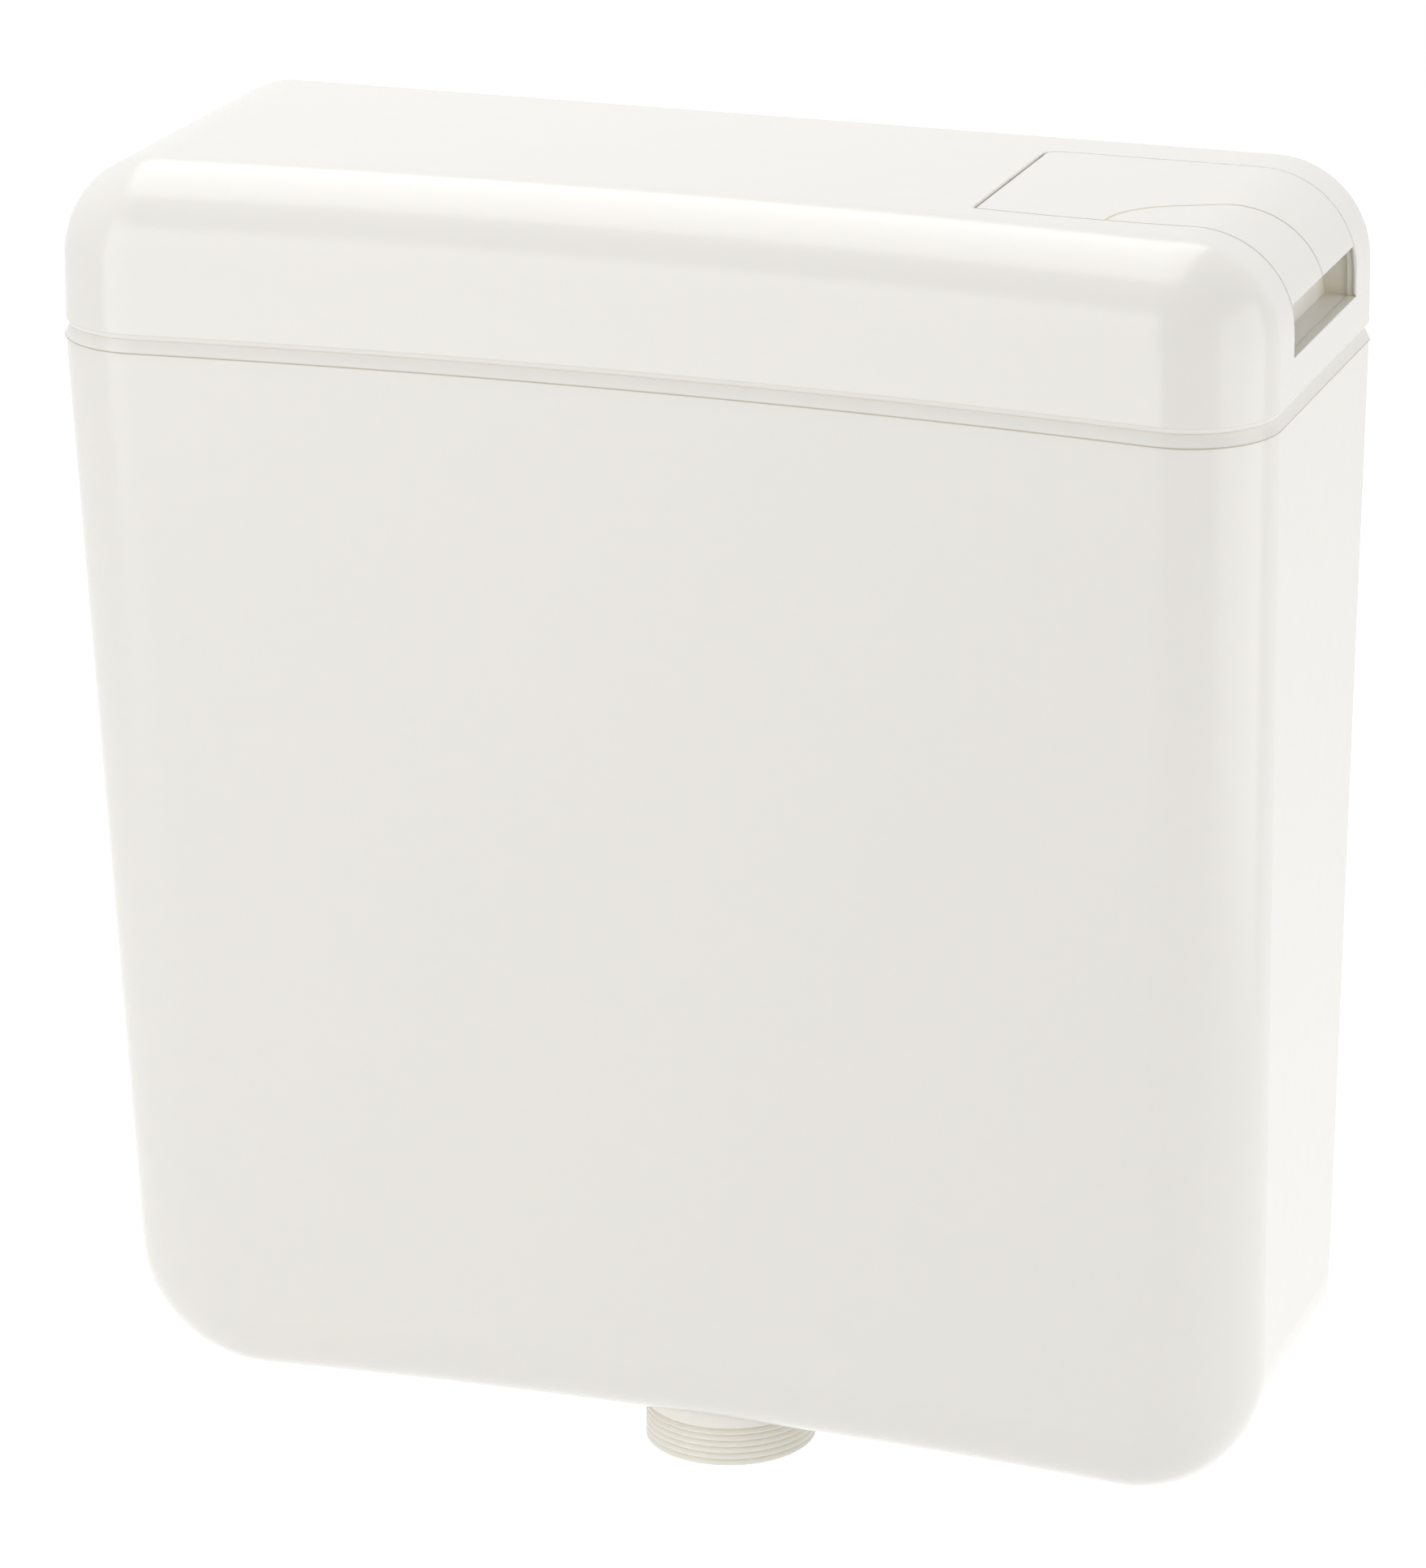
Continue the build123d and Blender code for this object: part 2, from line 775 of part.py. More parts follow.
def bridge_ends(x):
    half = bridge_beam_width / 2
    front = max(front_inner_y(side, bridge_low_z) for side in (x - half, x + half)) + bridge_end_gap
    back = back_y - tank_wall - bridge_end_gap
    return front, back


def bridge_screw_places(x):
    front, back = bridge_ends(x)
    return front + ledge_depth / 2, back - ledge_depth / 2


def cheek_places():
    return front_cheek_y, middle_cheek_y, rear_cheek_y


def make_bridge():
    half = bridge_beam_width / 2
    frame = None
    for x in (rocker_pivot_x, 0):
        front, back = bridge_ends(x)
        beam = box(x - half, x + half, front, back, bridge_low_z, bridge_top_z)
        frame = beam if frame is None else frame + beam
    front, back = bridge_ends(0)
    for share in bridge_rail_spread_shares:
        y = front + share * (back - front)
        rail_half = bridge_rail_width / 2
        frame += box(0, rocker_pivot_x, y - rail_half, y + rail_half, bridge_low_z, bridge_top_z)
    for y in cheek_places():
        frame += box(
            rocker_pivot_x - cheek_width / 2,
            rocker_pivot_x + cheek_width / 2,
            y,
            y + cheek_thickness,
            bridge_low_z,
            rocker_pivot_z + cheek_above_pin,
        )
    pin_hole = rocker_pin_radius + running_gap
    frame -= rod_along_y(pin_hole, front, back, rocker_pivot_x, rocker_pivot_z)
    for x in (rocker_pivot_x, 0):
        for y in bridge_screw_places(x):
            radius = bridge_screw_radius + screw_gap
            frame -= rod_along_z(radius, bridge_low_z - overrun, bridge_top_z + overrun, x, y)
    for radius, y in ((stem_radius, 0), (rod_radius, rod_y)):
        frame -= rod_along_z(radius + guide_gap, bridge_low_z - overrun, bridge_top_z + overrun, 0, y)
    return frame


def make_bridge_screws():
    screws = []
    for x in (rocker_pivot_x, 0):
        for y in bridge_screw_places(x):
            head_high = bridge_top_z + bridge_screw_head
            head = rod_along_z(bridge_screw_head_radius, bridge_top_z, head_high, x, y)
            tip = bridge_top_z - bridge_screw_length
            shank = rod_along_z(bridge_screw_radius, tip, bridge_top_z + tiny, x, y)
            screws.append(head + shank)
    return screws


def make_rocker_pin():
    front = front_cheek_y - piece_gap
    back = rear_cheek_y + cheek_thickness + piece_gap
    return rod_along_y(rocker_pin_radius, front, back, rocker_pivot_x, rocker_pivot_z)


def make_rocker(hub_front, hub_back, leg_front, leg_back, fork_y, stem):
    pad_top = pad_top_z
    arm_low = rocker_pivot_z - rocker_arm_below
    arm_high = arm_low + rocker_arm_depth
    pad_left = leg_x - rocker_pad_half
    pad_right = leg_x + rocker_pad_half
    right = [
        (rocker_pivot_x, arm_high),
        (pad_left, pad_top),
        (pad_right, pad_top),
        (pad_right, pad_top - rocker_arm_depth),
        (rocker_pivot_x, arm_low),
    ]
    body = rod_along_y(rocker_hub_radius, hub_front, hub_back, rocker_pivot_x, rocker_pivot_z)
    body += plate_along_y(right, leg_front - rocker_pad_margin, leg_back + rocker_pad_margin)
    inner = stem + fork_slack
    outer = inner + fork_prong_width
    left_end = -fork_prong_overhang
    prong_high = arm_high - fork_arm_trim
    body += box(left_end, rocker_pivot_x, fork_y - outer, fork_y + outer, arm_low, prong_high)
    boss_z = fork_top_z - fork_boss_radius
    body += rod_along_y(fork_boss_radius, fork_y - outer, fork_y + outer, 0, boss_z)
    slot_left = left_end - overrun
    slot_right = stem + fork_end_slack
    slot_low = arm_low - overrun
    body -= box(slot_left, slot_right, fork_y - inner, fork_y + inner, slot_low, fork_top_z + overrun)
    bore = rocker_pin_radius + running_gap
    return body - rod_along_y(bore, hub_front - overrun, hub_back + overrun, rocker_pivot_x, rocker_pivot_z)


# The flush valve over the outlet

seat_low_z = seat_pad_z + gasket_thickness
seat_flange_top_z = seat_low_z + seat_flange_thickness
seat_lip_z = seat_flange_top_z + seat_lip_height
seal_low_z = seat_lip_z + seat_gap
bell_low_z = seal_low_z + seal_thickness
shoulder_low_z = window_low - window_margin - sleeve_seal_thickness - shoulder_thickness
shoulder_top_z = shoulder_low_z + shoulder_thickness
sleeve_seal_low_z = shoulder_top_z + seat_gap
sleeve_low_z = sleeve_seal_low_z + sleeve_seal_thickness
sleeve_inner_radius = overflow_outer_radius + guide_gap
sleeve_outer_radius = sleeve_inner_radius + sleeve_wall


def make_seat():
    seat = ring(seat_flange_radius, seat_bore_radius, seat_low_z, seat_flange_top_z)
    seat += ring(seat_tail_radius, seat_bore_radius, seat_low_z - seat_tail_length, seat_flange_top_z)
    lip_radius = seat_bore_radius + seat_lip_width
    return seat + ring(lip_radius, seat_bore_radius, seat_flange_top_z - tiny, seat_lip_z)


def make_overflow_tube():
    inner = overflow_outer_radius - overflow_wall
    tube = rod_along_z(overflow_outer_radius, bell_low_z, overflow_top_z)
    tube += rod_along_z(bell_radius, bell_low_z, bell_low_z + bell_thickness)
    tube += rod_along_z(shoulder_radius, shoulder_low_z, shoulder_top_z)
    tube -= rod_along_z(inner, bell_low_z - overrun, overflow_top_z + overrun)
    for turn in range(window_count):
        reach = overflow_outer_radius + overrun
        half = window_width / 2
        window = box(0, reach, -half, half, window_low, window_low + window_height)
        tube -= Rot(0, 0, 360 / window_count * turn) * window
    return tube


def make_seal_retainer():
    inner = overflow_outer_radius - overflow_wall
    top = seal_low_z
    part = ring(retainer_radius, inner - overflow_wall, top - retainer_thickness, top)
    part += ring(inner - guide_gap, inner - overflow_wall, top - tiny, bell_low_z + bell_thickness)
    for turn in range(retainer_fins):
        fin = box(
            inner - overflow_wall,
            retainer_radius,
            -retainer_fin_thickness / 2,
            retainer_fin_thickness / 2,
            top - retainer_thickness - retainer_fin_length,
            top - retainer_thickness + tiny,
        )
        part += Rot(0, 0, 360 / retainer_fins * turn) * fin
    return part


def make_cage():
    low = seat_flange_top_z
    cage = ring(cage_outer_radius, bell_radius + cage_bell_gap, low, low + cage_ring_height)
    high = low + cage_height
    guide = overflow_outer_radius + guide_gap
    cage += ring(cage_guide_radius, guide, high, high + cage_guide_height)
    mid = cage_outer_radius - cage_pillar_radius - cage_pillar_inset
    for turn in range(cage_pillars):
        pillar = rod_along_z(cage_pillar_radius, low, high + cage_ring_height, mid)
        half = cage_spoke_width / 2
        spoke = box(cage_guide_radius - guide_gap, mid, -half, half, high, high + cage_ring_height)
        cage += Rot(0, 0, 360 / cage_pillars * (turn + 0.5)) * (pillar + spoke)
    return cage


def make_lift_head():
    inner = overflow_outer_radius + guide_gap
    outer = inner + head_ring_wall
    low = overflow_top_z - head_ring_height
    head = ring(outer, inner, low, overflow_top_z)
    bar_low = overflow_top_z - tiny
    bar_high = overflow_top_z + head_bar_height
    half = head_bar_width / 2
    head += box(-half, half, -outer, outer, bar_low, bar_high) & rod_along_z(outer, bar_low, bar_high)
    collar_z = fork_top_z + piece_gap
    head += rod_along_z(stem_radius, overflow_top_z, collar_z + collar_thickness + stem_overtop)
    head += rod_along_z(stem_collar_radius, collar_z, collar_z + collar_thickness)
    trim = rod_along_z(inner, low - overrun, overflow_top_z)
    return head - trim


def make_sleeve():
    return ring(sleeve_outer_radius, sleeve_inner_radius, sleeve_low_z, sleeve_low_z + sleeve_height)


def make_half_rod():
    lug_low = sleeve_low_z + sleeve_height - lug_height
    top = fork_top_z + piece_gap + collar_thickness
    rod = rod_along_z(rod_radius, lug_low, top + stem_overtop, 0, rod_y)
    rod += rod_along_z(rod_collar_radius, fork_top_z + piece_gap, top, 0, rod_y)
    lug = box(-lug_width / 2, lug_width / 2, rod_y - rod_radius, 0, lug_low, lug_low + lug_height)
    lug_trim = rod_along_z(sleeve_outer_radius + tiny, lug_low - overrun, lug_low + lug_height + overrun)
    return rod + (lug - lug_trim)


# The fill valve with its float

fill_wall_x = -tank_half(fill_z)
flange_x = fill_wall_x + tank_wall + piece_gap + inlet_washer_thickness
barrel_x = flange_x + fill_flange_thickness
barrel_end_x = barrel_x + barrel_length
plunger_x = barrel_end_x + diaphragm_thickness + seat_gap
cap_end_x = plunger_x + plunger_head_thickness + plunger_travel + seat_gap
rod_end_x = cap_end_x + cap_end_wall + plunger_rod_reach
arm_pivot_x = rod_end_x + piece_gap + arm_pivot_reach
arm_pivot_z = fill_z - arm_pivot_drop
level_x = arm_pivot_x + arm_length
float_top_z = arm_pivot_z - float_below_arm
float_low_z = float_top_z - float_height


def make_fill_body():
    start = fill_wall_x - inlet_reach
    shank = rod_along_x(inlet_radius, start, flange_x + tiny, fill_y, fill_z)
    groove = thread_groove(
        inlet_radius, inlet_thread_pitch, inlet_thread_depth, inlet_thread_crest, inlet_thread_length
    )
    shank -= Pos(start, fill_y, fill_z) * Rot(0, 90, 0) * groove
    body = shank + rod_along_x(fill_flange_radius, flange_x, barrel_x, fill_y, fill_z)
    body += rod_along_x(barrel_radius, barrel_x - tiny, barrel_end_x, fill_y, fill_z)
    port_x = barrel_x + barrel_port_from_flange
    port_low = fill_z - barrel_radius - port_length
    body += rod_along_z(port_radius, port_low, fill_z, port_x, fill_y)
    body -= rod_along_z(port_bore_radius, port_low - overrun, fill_z, port_x, fill_y)
    bore_end = barrel_end_x - barrel_end_wall
    return body - rod_along_x(inlet_bore_radius, start - overrun, bore_end, fill_y, fill_z)


def make_inlet_washer():
    start = fill_wall_x + tank_wall + piece_gap
    washer = rod_along_x(inlet_washer_radius, start, start + inlet_washer_thickness, fill_y, fill_z)
    bore = inlet_radius + screw_gap
    return washer - rod_along_x(bore, start - overrun, flange_x + overrun, fill_y, fill_z)


def make_inlet_nut():
    high = fill_wall_x - piece_gap
    low = high - inlet_nut_thickness
    hexagon = extrude(RegularPolygon(inlet_nut_radius, 6), inlet_nut_thickness)
    nut = Pos(low, fill_y, fill_z) * Rot(0, 90, 0) * hexagon
    return nut - rod_along_x(inlet_radius + screw_gap, low - overrun, high + overrun, fill_y, fill_z)


def make_valve_cap():
    start = barrel_end_x - cap_grip
    end = cap_end_x + cap_end_wall
    cap = rod_along_x(cap_radius, start, end, fill_y, fill_z)
    inner = barrel_radius + guide_gap
    cap -= rod_along_x(inner, start - overrun, cap_end_x, fill_y, fill_z)
    for side in (-1, 1):
        near = fill_y + side * (arm_half_width + piece_gap)
        far = near + side * ear_thickness
        ear = box(
            cap_end_x,
            arm_pivot_x + ear_margin,
            min(near, far),
            max(near, far),
            arm_pivot_z - ear_margin,
            arm_pivot_z + ear_margin,
        )
        cap += ear
    cap -= rod_along_x(plunger_rod_radius + guide_gap, cap_end_x - overrun, end + overrun, fill_y, fill_z)
    reach = arm_half_width + piece_gap + ear_thickness + overrun
    hole = arm_pin_radius + running_gap
    return cap - rod_along_y(hole, fill_y - reach, fill_y + reach, arm_pivot_x, arm_pivot_z)


def make_plunger():
    head = rod_along_x(plunger_head_radius, plunger_x, plunger_x + plunger_head_thickness, fill_y, fill_z)
    return head + rod_along_x(plunger_rod_radius, plunger_x, rod_end_x, fill_y, fill_z)


def make_float_arm():
    front = fill_y - arm_half_width
    back = fill_y + arm_half_width
    low = arm_pivot_z - arm_bar_depth / 2
    arm = rod_along_y(arm_hub_radius, front, back, arm_pivot_x, arm_pivot_z)
    arm += box(arm_pivot_x, level_x, front, back, low, low + arm_bar_depth)
    heel_x = rod_end_x + piece_gap
    arm += box(heel_x, heel_x + heel_thickness, front, back, arm_pivot_z, fill_z + heel_overtop)
    boss_low = arm_pivot_z - arm_boss_height / 2
    boss_high = boss_low + arm_boss_height
    arm += rod_along_z(arm_boss_radius, boss_low, boss_high, level_x, fill_y)
    bore = level_screw_radius + screw_gap
    arm -= rod_along_z(bore, boss_low - overrun, boss_high + overrun, level_x, fill_y)
    hole = arm_pin_radius + running_gap
    return arm - rod_along_y(hole, front - overrun, back + overrun, arm_pivot_x, arm_pivot_z)


def make_arm_pin():
    reach = arm_half_width + piece_gap + ear_thickness + piece_gap
    return rod_along_y(arm_pin_radius, fill_y - reach, fill_y + reach, arm_pivot_x, arm_pivot_z)


def make_level_screw():
    top = arm_pivot_z + level_screw_overtop
    screw = rod_along_z(level_screw_radius, float_low_z - seat_gap - tiny, top, level_x, fill_y)
    screw += rod_along_z(level_knob_radius, top, top + level_knob_height, level_x, fill_y)
    above = arm_pivot_z + arm_boss_height / 2 + seat_gap
    below = arm_pivot_z - arm_boss_height / 2 - seat_gap - level_nut_height
    for low in (above, below):
        screw += rod_along_z(level_nut_radius, low, low + level_nut_height, level_x, fill_y)
    foot_top = float_low_z - seat_gap
    return screw + rod_along_z(level_nut_radius, foot_top - level_nut_height, foot_top, level_x, fill_y)


def make_float():
    left = level_x - float_front_share * float_length
    half = float_width / 2
    body = box(left, left + float_length, fill_y - half, fill_y + half, float_low_z, float_top_z)
    body = fillet(body.edges(), float_edge)
    bore = level_screw_radius + screw_gap
    return body - rod_along_z(bore, float_low_z - overrun, float_top_z + overrun, level_x, fill_y)


def make_silencer():
    port_x = barrel_x + barrel_port_from_flange
    top = fill_z - barrel_radius - port_length + silencer_overlap
    return ring(silencer_radius, silencer_radius - silencer_wall, silencer_end_height, top, port_x, fill_y)


def make_diaphragm():
    radius = barrel_radius - seat_gap
    return rod_along_x(radius, barrel_end_x, barrel_end_x + diaphragm_thickness, fill_y, fill_z)


def make_all():
    stock = lever_stock()
    full_stem = stem_radius
    half_stem = rod_radius
    hub_full = (middle_cheek_y + cheek_thickness + piece_gap, rear_cheek_y - piece_gap)
    hub_half = (front_cheek_y + cheek_thickness + piece_gap, middle_cheek_y - piece_gap)
    save("tank", make_tank())
    save("insulation_liner", make_liner())
    save("lid", make_lid())
    save("lever_housing", make_housing())
    save("housing_screws", Compound(children=make_housing_screws()))
    save("lever_pin", make_lever_pin())
    save("full_flush_lever", make_full_lever(stock))
    save("half_flush_lever", make_half_lever(stock))
    save("bridge_frame", make_bridge())
    save("bridge_screws", Compound(children=make_bridge_screws()))
    save("rocker_pin", make_rocker_pin())
    save("full_rocker", make_rocker(*hub_full, full_leg_front, full_leg_back, 0, full_stem))
    save("half_rocker", make_rocker(*hub_half, half_leg_front, half_leg_back, rod_y, half_stem))
    save("seat_gasket", ring(gasket_outer_radius, seat_tail_radius + seat_tail_gap, seat_pad_z, seat_low_z))
    save("valve_seat", make_seat())
    save("overflow_tube", make_overflow_tube())
    save("main_seal", ring(seal_outer_radius, overflow_outer_radius, seal_low_z, bell_low_z))
    save("seal_retainer", make_seal_retainer())
    save("valve_cage", make_cage())
    save("lift_head", make_lift_head())
    save("half_flush_sleeve", make_sleeve())
    seal_ring = ring(sleeve_outer_radius, sleeve_inner_radius, sleeve_seal_low_z, sleeve_low_z)
    save("sleeve_seal", seal_ring)
    save("half_lift_rod", make_half_rod())
    save("fill_valve_body", make_fill_body())
    save("inlet_washer", make_inlet_washer())
    save("inlet_nut", make_inlet_nut())
    save("valve_cap", make_valve_cap())
    save("diaphragm", make_diaphragm())
    save("plunger", make_plunger())
    save("float_arm", make_float_arm())
    save("arm_pin", make_arm_pin())
    save("level_screw", make_level_screw())
    save("float", make_float())
    save("silencer_tube", make_silencer())


make_all()
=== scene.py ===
import json
import math

import bmesh
import bpy
import numpy as np
from mathutils import Matrix, Vector


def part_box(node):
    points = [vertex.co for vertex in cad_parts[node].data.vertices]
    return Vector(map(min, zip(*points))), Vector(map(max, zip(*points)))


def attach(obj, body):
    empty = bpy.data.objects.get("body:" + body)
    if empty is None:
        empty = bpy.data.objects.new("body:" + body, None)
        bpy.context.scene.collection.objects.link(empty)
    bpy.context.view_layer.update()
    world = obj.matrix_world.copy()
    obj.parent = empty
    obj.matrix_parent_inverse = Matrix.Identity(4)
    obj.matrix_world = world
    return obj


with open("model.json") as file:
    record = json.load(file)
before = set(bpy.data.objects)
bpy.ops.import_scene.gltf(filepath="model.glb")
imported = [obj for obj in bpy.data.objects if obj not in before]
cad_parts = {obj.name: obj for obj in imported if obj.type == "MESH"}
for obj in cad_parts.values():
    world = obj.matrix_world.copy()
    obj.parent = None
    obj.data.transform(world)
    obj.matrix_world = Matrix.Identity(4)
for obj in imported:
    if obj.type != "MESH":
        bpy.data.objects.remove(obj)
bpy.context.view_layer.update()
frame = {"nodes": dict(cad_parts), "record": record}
print("frame loaded:", len(frame["nodes"]), "nodes")


# camera: where the photograph was taken from, in metres and radians
camera = {
    "eye": (0.6669, -1.9265, 0.93955),
    "yaw": 0.3361,
    "pitch": 0.3308,
    "roll": 0.0028,
    "focalPixels": 7856.8,
    "imageHeight": 1933,  # pixels, the photograph's longer side
    "sensor": 36.0,  # millimetres, along the longer side
    "clip": (0.05, 30),
}


def placeCamera(values):
    yaw, pitch, roll = values["yaw"], values["pitch"], values["roll"]
    forward = Vector((-math.sin(yaw) * math.cos(pitch), math.cos(yaw) * math.cos(pitch), -math.sin(pitch)))
    right = Vector((math.cos(yaw), math.sin(yaw), 0))
    down = forward.cross(right)
    turnedRight = math.cos(roll) * right + math.sin(roll) * down
    turnedDown = math.cos(roll) * down - math.sin(roll) * right
    lens = bpy.data.cameras.new("photoCamera")
    lens.sensor_fit = "AUTO"
    lens.sensor_width = values["sensor"]
    lens.lens = values["focalPixels"] * values["sensor"] / values["imageHeight"]
    lens.clip_start, lens.clip_end = values["clip"]
    holder = bpy.data.objects.new("photoCamera", lens)
    turn = Matrix((turnedRight, -turnedDown, -forward)).transposed().to_4x4()
    holder.matrix_world = Matrix.Translation(values["eye"]) @ turn
    bpy.context.scene.collection.objects.link(holder)
    bpy.context.scene.camera = holder


placeCamera(camera)
print("camera placed")


class Value:
    # a socket whose operators add Math nodes
    def __init__(self, paint, socket):
        self.paint = paint
        self.socket = socket

    def maths(self, operation, *values):
        return self.paint.node("ShaderNodeMath", {"operation": operation}, dict(enumerate(values)))

    def __add__(self, other):
        return self.maths("ADD", self, other)

    def __radd__(self, other):
        return self.maths("ADD", other, self)

    def __sub__(self, other):
        return self.maths("SUBTRACT", self, other)

    def __rsub__(self, other):
        return self.maths("SUBTRACT", other, self)

    def __mul__(self, other):
        return self.maths("MULTIPLY", self, other)

    def __rmul__(self, other):
        return self.maths("MULTIPLY", other, self)

    def __abs__(self):
        return self.maths("ABSOLUTE", self)


class Paint:
    # one material, or the world, and the nodes that make it
    raySamples = 6  # for rounded edges and for recesses

    def __init__(self, name, holder=None):
        self.material = holder or bpy.data.materials.new(name)
        self.material.use_nodes = True
        self.nodes = self.material.node_tree.nodes
        self.links = self.material.node_tree.links
        self.nodes.clear()

    def node(self, kind, settings=None, sockets=None, output=0):
        # the settings first, then each socket's value or link
        made = self.nodes.new(kind)
        for name, value in (settings or {}).items():
            setattr(made, name, value)
        for name, value in (sockets or {}).items():
            if isinstance(value, Value):
                self.links.new(value.socket, made.inputs[name])
            else:
                made.inputs[name].default_value = value
        return Value(self, made.outputs[output] if len(made.outputs) else None)

    def place(self):
        return self.node("ShaderNodeTexCoord", output="Object")

    def height(self):
        # the place's own height in the frame
        return self.node("ShaderNodeSeparateXYZ", {}, {0: self.place()}, output="Z")

    def noise(self, scale, detail=2.0, roughness=0.5, stretch=(1, 1, 1)):
        where = self.node("ShaderNodeMapping", {}, {"Vector": self.place(), "Scale": stretch})
        sockets = {"Vector": where, "Scale": scale, "Detail": detail, "Roughness": roughness}
        return self.node("ShaderNodeTexNoise", {}, sockets)

    def mix(self, share, first, second):
        made = self.node("ShaderNodeMix", {"data_type": "RGBA"}, {0: share}, output=2)
        mixer = made.socket.node
        for index, value in ((6, first), (7, second)):  # the Mix node's two colour sockets
            if isinstance(value, Value):
                self.links.new(value.socket, mixer.inputs[index])
            else:
                mixer.inputs[index].default_value = (*value, 1)
        return made

    def ramp(self, value, start, end):
        # 0 at the start, 1 at the end, held beyond both
        return self.node("ShaderNodeMapRange", {}, {"Value": value, "From Min": start, "From Max": end})

    def roundEdge(self, radius):
        # the normal of an edge that is rounded by this radius
        return self.node("ShaderNodeBevel", {"samples": self.raySamples}, {"Radius": radius})

    def bump(self, height, depth, strength=1.0, normal=None):
        sockets = {"Height": height, "Distance": depth, "Strength": strength}
        if normal:
            sockets["Normal"] = normal
        return self.node("ShaderNodeBump", {}, sockets)

    def recessShade(self, reach, start, end):
        # 0 on open faces, 1 deep in gaps and hollows no wider than the reach, where shade is painted in
        settings = {"samples": self.raySamples}
        openness = self.node("ShaderNodeAmbientOcclusion", settings, {"Distance": reach}, output="AO")
        return self.ramp(1 - openness, start, end)

    def lookedAt(self):
        # 1 for rays of the camera, of gloss and of clear parts, 0 for light that falls on the object
        direct = self.node("ShaderNodeLightPath", output="Is Camera Ray")
        gloss = self.node("ShaderNodeLightPath", output="Is Glossy Ray")
        through = self.node("ShaderNodeLightPath", output="Is Transmission Ray")
        return direct + gloss + through

    def finish(self, colour, roughness, normal, **constants):
        sockets = {"Base Color": colour, "Roughness": roughness, "Normal": normal}
        sockets.update({name.replace("_", " "): value for name, value in constants.items()})
        shader = self.node("ShaderNodeBsdfPrincipled", {}, sockets)
        self.node("ShaderNodeOutputMaterial", {}, {"Surface": shader})
        return self.material


def linear(red, green, blue):
    # a colour as it is read on a screen, 0 to 255, to the light it stands for
    parts = [c / 255 for c in (red, green, blue)]
    return tuple(c / 12.92 if c <= 0.04045 else ((c + 0.055) / 1.055) ** 2.4 for c in parts)


# lengths in metres, scales in patterns to the metre
shellFinish = {
    "colour": linear(239, 236, 230),
    "cool": linear(237, 235, 230),
    "cloudScale": 9.0,
    "cloudDetail": 3,
    # painted shade for recesses: its colour, how far the occlusion looks, and the shares at which it starts
    # and is full
    "recessShade": linear(222, 213, 184),
    "recessShadeReach": 0.016,
    "recessShadeShares": (0.4, 0.95),
    # a painted shadow line along the seam between lid and tank
    "seamShadow": linear(206, 199, 182),
    "seamShadowHalfWidth": 0.0002,
    "spigotTone": linear(245, 242, 235),
    "spigotTop": 0.0223,
    "spigotBlend": 0.0004,
    "roughness": 0.2,
    "roughnessSpread": 0.06,
    "roughnessScale": 80.0,
    "skinScale": 320.0,
    "skinDepth": 0.00003,
    "skinStrength": 0.35,
    "edgeRound": 0.0006,
    "refraction": 1.49,
    "translucent": 0.12,
    "lightReach": 0.003,
    "lightReachShares": (1.0, 0.85, 0.6),
}


def glossyShell(name, values):
    # moulded gloss: faint clouds of colour, a warmer spigot, painted shade in recesses, a painted shadow line
    # where lid and tank meet, and the fine waviness of a polished tool
    paint = Paint(name)
    height = paint.height()
    clouds = paint.noise(values["cloudScale"], values["cloudDetail"])
    colour = paint.mix(clouds, values["colour"], values["cool"])
    top, blend = values["spigotTop"], values["spigotBlend"]
    colour = paint.mix(paint.ramp(height, top + blend, top - blend), colour, values["spigotTone"])
    # painted shade: hollows and gaps that the occlusion finds closed in are tinted darker and warmer
    colour = paint.mix(paint.recessShade(values["recessShadeReach"], *values["recessShadeShares"]), colour, values["recessShade"])
    # painted shadow: a thin darker line along the seam, where the lid's band overhangs the tank
    offSeam = abs(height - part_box("tank")[1].z)
    seam = paint.ramp(offSeam, 2 * values["seamShadowHalfWidth"], values["seamShadowHalfWidth"])
    colour = paint.mix(seam, colour, values["seamShadow"])
    skin = paint.noise(values["skinScale"])
    return paint.finish(
        colour,
        values["roughness"] + values["roughnessSpread"] * (paint.noise(values["roughnessScale"]) - 0.5),
        paint.bump(skin, values["skinDepth"], values["skinStrength"], paint.roundEdge(values["edgeRound"])),
        IOR=values["refraction"],
        Subsurface_Weight=values["translucent"],
        Subsurface_Scale=values["lightReach"],
        Subsurface_Radius=values["lightReachShares"],
    )


satinFinish = {
    "cloudScale": 22.0,
    "cloudDetail": 4,
    "roughness": 0.42,
    "roughnessSpread": 0.12,
    "roughnessScale": 150.0,
    "roughnessDetail": 3,
    "grain": 900.0,
    "grainDepth": 0.00006,
    "grainStrength": 0.5,
    "refraction": 1.47,
}
gapFinish = {
    "cloudScale": 90.0,
    "cloudDetail": 3,
    "roughness": 0.5,
    "roughnessSpread": 0.1,
    "roughnessScale": 400.0,
    "roughnessDetail": 2,
    "grain": 900.0,
    "grainDepth": 0.00004,
    "grainStrength": 0.4,
    "refraction": 1.5,
}
floatFinish = {**satinFinish, "grain": 500.0, "roughnessScale": 500.0 / 6, "roughness": 0.6}


def satinMoulding(name, colour, shade, values):
    # two close tones in soft clouds, over a fine even grain
    paint = Paint(name)
    uneven = paint.noise(values["roughnessScale"], values["roughnessDetail"]) - 0.5
    return paint.finish(
        paint.mix(paint.noise(values["cloudScale"], values["cloudDetail"]), colour, shade),
        values["roughness"] + values["roughnessSpread"] * uneven,
        paint.bump(paint.noise(values["grain"]), values["grainDepth"], values["grainStrength"]),
        IOR=values["refraction"],
    )


rubberFinish = {
    "dustScale": 140.0,
    "dustDetail": 5,
    "dustRoughness": 0.65,
    "roughness": 0.62,
    "roughnessSpread": 0.2,
    "grain": 700.0,
    "grainDetail": 3,
    "grainDepth": 0.00008,
    "grainStrength": 0.6,
    "refraction": 1.5,
}


